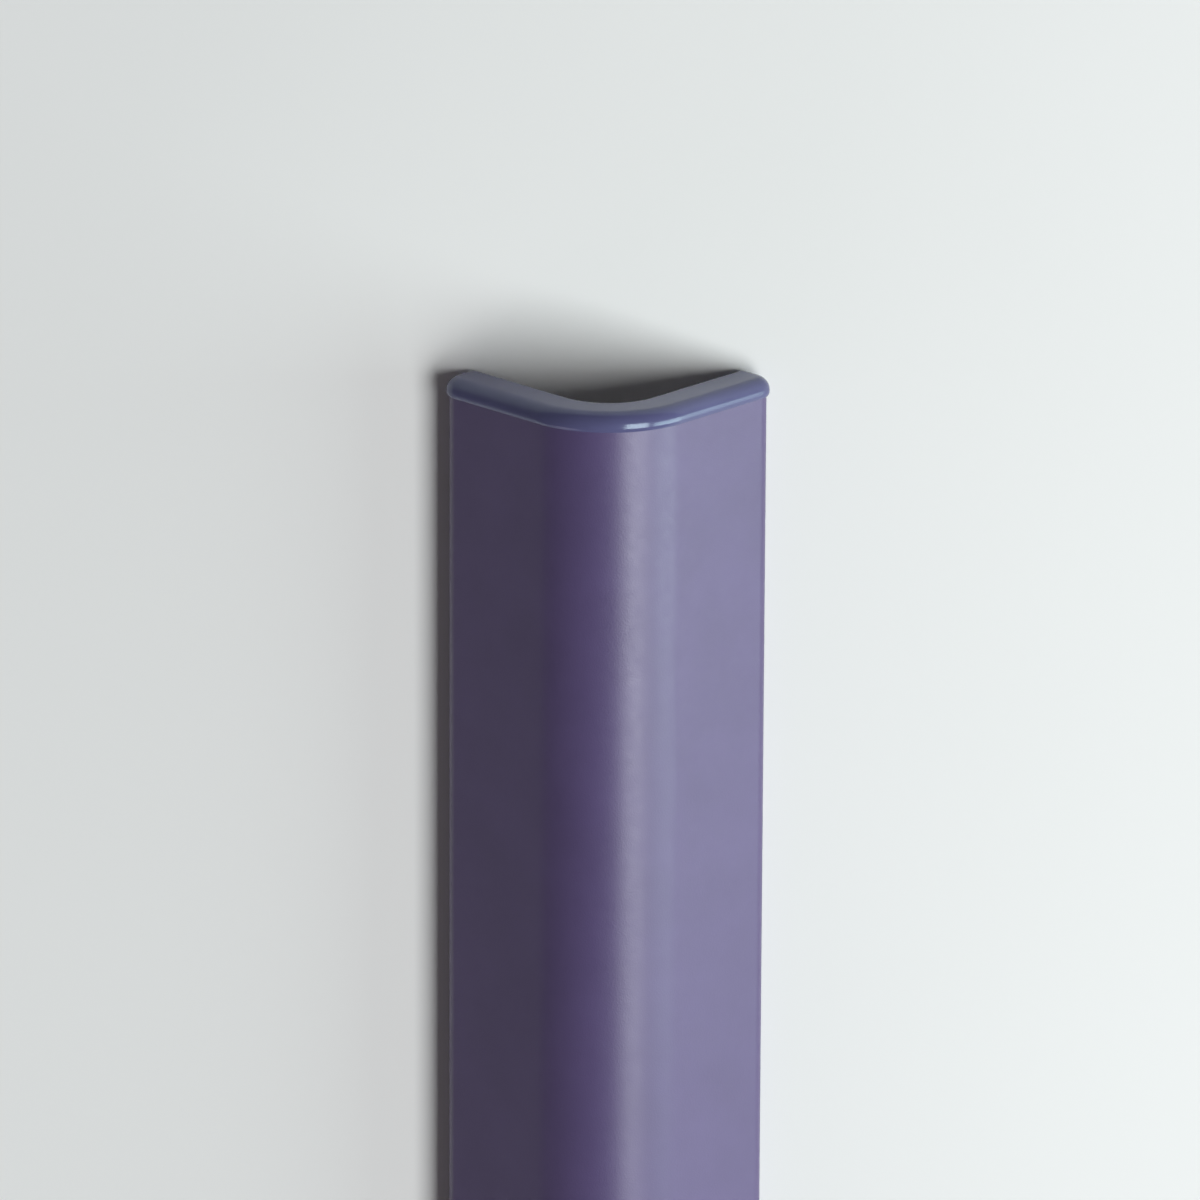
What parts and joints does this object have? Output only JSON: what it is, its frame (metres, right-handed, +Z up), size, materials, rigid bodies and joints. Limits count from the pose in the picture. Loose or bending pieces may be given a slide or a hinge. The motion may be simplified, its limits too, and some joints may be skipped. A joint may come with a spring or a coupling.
{
  "type": "corner guard moulding",
  "caption": "Clip-over corner guard moulding for a bullnosed outside wall corner: vinyl cover, aluminium retainer and moulded end caps.",
  "frame": {"origin": "on the floor that the guard lies on, under the middle of its length and of its width", "axes": "+Y along the guard towards the end that is its top on the wall, +Z up through the rounded nose, +X across the two wings"},
  "size_m": [0.105, 1.2192, 0.0511],
  "materials": {
    "cover_vinyl": "fine suede texture, muted purple",
    "retainer_aluminium": "mill finish",
    "cap_plastic": "smooth satin gloss, muted purple"
  },
  "bodies": {
    "root": {"vinyl_cover": "cover_vinyl", "aluminium_retainer": "retainer_aluminium", "top_cap": "cap_plastic", "bottom_cap": "cap_plastic"}
  },
  "joints": []
}
